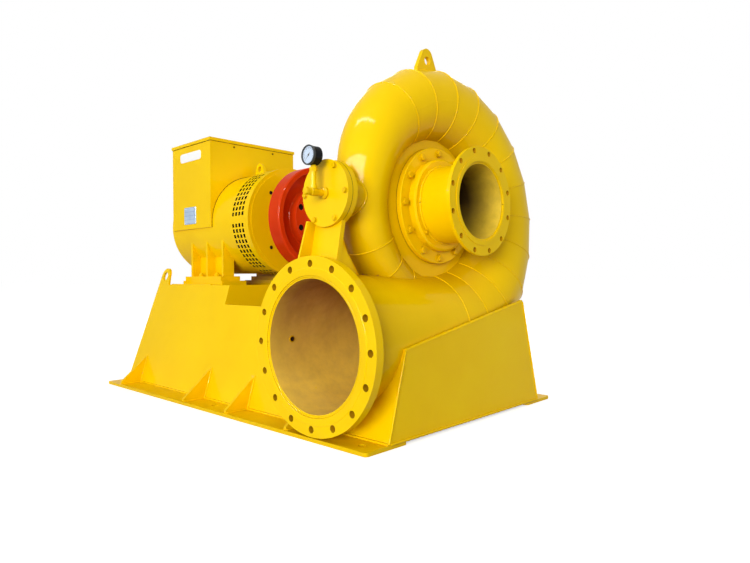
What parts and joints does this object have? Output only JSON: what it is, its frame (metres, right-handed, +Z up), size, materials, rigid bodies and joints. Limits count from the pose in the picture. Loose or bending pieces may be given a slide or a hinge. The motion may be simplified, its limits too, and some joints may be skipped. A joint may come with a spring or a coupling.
{
  "type": "hydroelectric generator set",
  "caption": "Horizontal-shaft spiral-case water turbine with flywheel, coupled to a generator on one welded base, with flanged inlet and outlet.",
  "frame": {"origin": "on the floor under the shaft axis, at the centre of the four corner anchor bolts", "axes": "+X along the shaft towards the draft tube outlet, the inlet flange faces -Y, +Z up"},
  "size_m": [1.733, 1.1314, 1.3179],
  "materials": {
    "yellow_paint": "gloss",
    "red_paint": "gloss",
    "machined_steel": "satin",
    "black_case": "satin",
    "white_dial": "matte"
  },
  "bodies": {
    "set": {"bearing_cap": "yellow_paint", "bearing_deck": "yellow_paint", "bearing_housing": "yellow_paint", "bearing_pedestal": "yellow_paint", "casing_lifting_eye": "yellow_paint", "column_rib": "yellow_paint", "draft_tube": "yellow_paint", "draft_tube_collar": "yellow_paint", "drive_end_ring": "yellow_paint", "end_shield": "yellow_paint", "front_head_cover": "yellow_paint", "front_saddle_plate": "yellow_paint", "gauge_case": "black_case", "gauge_dial": "white_dial", "gauge_pipe": "yellow_paint", "generator_barrel": "yellow_paint", "generator_lifting_eye": "yellow_paint", "generator_rear_cover": "yellow_paint", "inlet_flange": "yellow_paint", "inlet_pipe": "yellow_paint", "inspection_hatch": "yellow_paint", "inspection_nozzle": "yellow_paint", "left_foot_plate": "yellow_paint", "left_generator_foot": "yellow_paint", "left_gussets": "yellow_paint", "left_rail": "yellow_paint", "left_side_wall": "yellow_paint", "nozzle_column": "yellow_paint", "outlet_flange": "yellow_paint", "rear_end_wall": "yellow_paint", "rear_head_cover": "yellow_paint", "rear_saddle_plate": "yellow_paint", "right_foot_plate": "yellow_paint", "right_generator_foot": "yellow_paint", "right_gussets": "yellow_paint", "right_rail": "yellow_paint", "right_side_wall": "yellow_paint", "shaft_gland": "yellow_paint", "spiral_casing": "yellow_paint", "stay_ring": "yellow_paint", "step_cross_plate": "yellow_paint", "terminal_box": "yellow_paint", "terminal_box_lid": "yellow_paint"},
    "rotor": {"main_shaft": "machined_steel", "turbine_runner": "machined_steel", "flywheel": "red_paint", "coupling_half": "red_paint", "generator_shaft": "machined_steel"}
  },
  "joints": [
    {"name": "rotor_spin", "type": "hinge", "parent": "set", "child": "rotor", "pos_m": [0.3, 0, 0.74], "axis": [1, 0, 0], "continuous": true}
  ]
}
